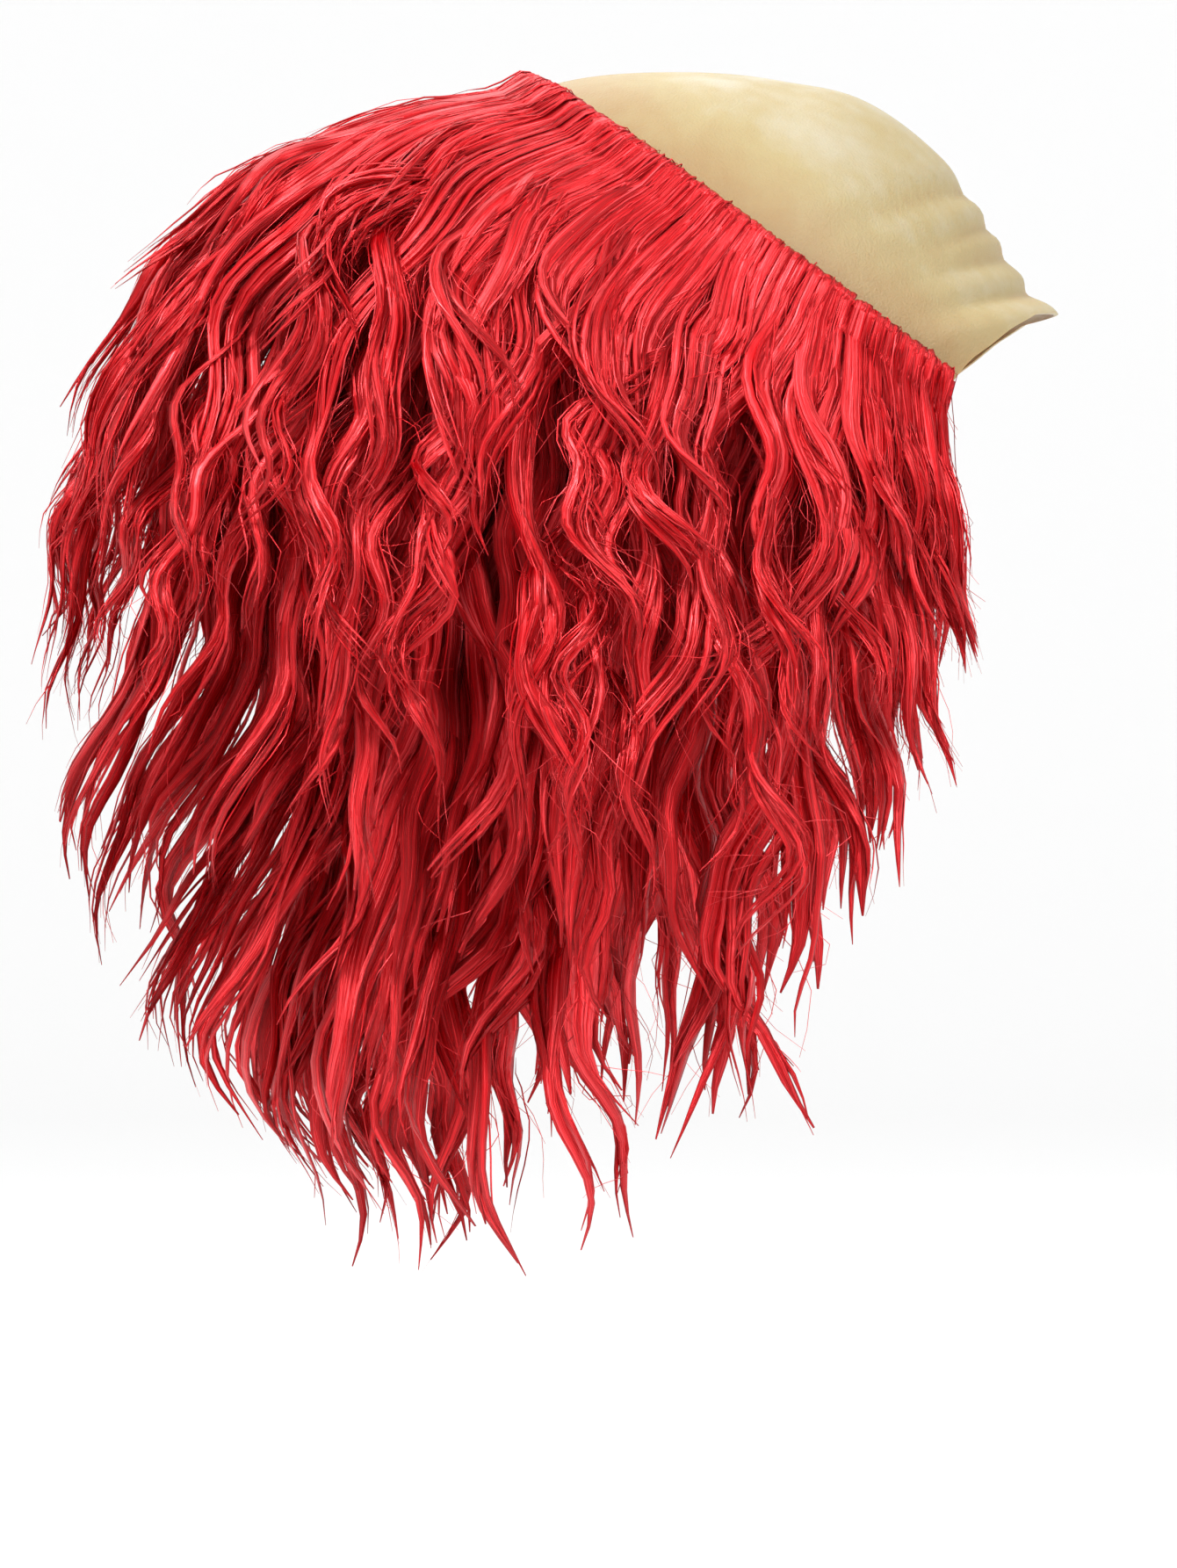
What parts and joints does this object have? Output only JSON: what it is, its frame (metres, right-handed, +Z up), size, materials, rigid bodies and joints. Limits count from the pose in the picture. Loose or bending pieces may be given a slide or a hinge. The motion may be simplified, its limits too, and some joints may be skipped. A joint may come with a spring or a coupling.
{
  "type": "clown wig",
  "caption": "Clown wig: latex bald front with moulded brow wrinkles, sewn to a stretch cap that carries layered rows of long wavy red hair.",
  "frame": {"origin": "where the top of the head touches the inside of the bald cap, on the middle plane", "axes": "+Z up; -Y the way the wearer's face looks; +X towards the wearer's left"},
  "size_m": [0.257, 0.266, 0.3265],
  "materials": {
    "latex": "satin, cream-coloured moulded latex",
    "stretch_fabric": "matt knitted fabric",
    "hair": "glossy synthetic fibre"
  },
  "bodies": {
    "root": {"bald_cap": "latex", "stretch_cap": "stretch_fabric", "hair_row_hairline": "hair", "hair_row_crown": "hair", "hair_row_back": "hair", "hair_row_lower": "hair", "hair_row_nape": "hair"}
  },
  "joints": []
}
